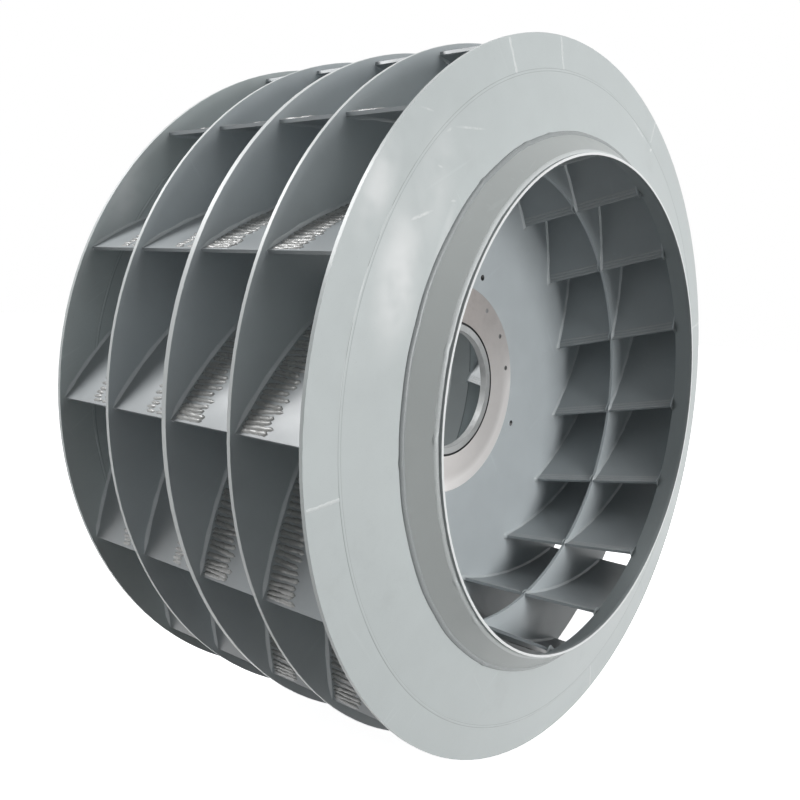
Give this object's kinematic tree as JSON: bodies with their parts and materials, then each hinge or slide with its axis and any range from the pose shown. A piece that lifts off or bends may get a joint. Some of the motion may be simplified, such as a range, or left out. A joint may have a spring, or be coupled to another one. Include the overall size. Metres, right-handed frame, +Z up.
{
  "type": "fan impeller",
  "caption": "Welded double-inlet centrifugal fan wheel: curved blades in bays between a centre disc, mid rings and conical shrouds with inlet collars.",
  "frame": {"origin": "centre of the bore, in the middle plane of the centre disc", "axes": "+Y along the wheel axis, from the front inlet to the rear inlet; +Z up as pictured"},
  "size_m": [1.5998, 0.872, 1.5998],
  "materials": {
    "disc_paint": "satin grey primer with bright edges",
    "shroud_paint": "satin light grey paint with faint scuffs",
    "inlet_paint": "satin mid grey paint",
    "blade_paint": "satin grey paint over hard-facing beads",
    "facing_steel": "turned bare steel",
    "sleeve_steel": "turned bare steel",
    "screw_steel": "dark oiled steel"
  },
  "bodies": {
    "root": {"centre_disc": "disc_paint", "front_mid_ring": "disc_paint", "rear_mid_ring": "disc_paint", "front_flange": "shroud_paint", "rear_flange": "shroud_paint", "front_cone": "shroud_paint", "rear_cone": "shroud_paint", "front_collar": "inlet_paint", "rear_collar": "inlet_paint", "front_inlet": "inlet_paint", "rear_inlet": "inlet_paint", "front_facing": "facing_steel", "rear_facing": "facing_steel", "hub_sleeve": "sleeve_steel", "hub_screws": "screw_steel", "front_blade_01": "blade_paint", "front_blade_02": "blade_paint", "front_blade_03": "blade_paint", "front_blade_04": "blade_paint", "front_blade_05": "blade_paint", "front_blade_06": "blade_paint", "front_blade_07": "blade_paint", "front_blade_08": "blade_paint", "front_blade_09": "blade_paint", "front_blade_10": "blade_paint", "front_blade_11": "blade_paint", "front_blade_12": "blade_paint", "front_blade_13": "blade_paint", "front_blade_14": "blade_paint", "front_blade_15": "blade_paint", "front_blade_16": "blade_paint", "rear_blade_01": "blade_paint", "rear_blade_02": "blade_paint", "rear_blade_03": "blade_paint", "rear_blade_04": "blade_paint", "rear_blade_05": "blade_paint", "rear_blade_06": "blade_paint", "rear_blade_07": "blade_paint", "rear_blade_08": "blade_paint", "rear_blade_09": "blade_paint", "rear_blade_10": "blade_paint", "rear_blade_11": "blade_paint", "rear_blade_12": "blade_paint", "rear_blade_13": "blade_paint", "rear_blade_14": "blade_paint", "rear_blade_15": "blade_paint", "rear_blade_16": "blade_paint"}
  },
  "joints": []
}
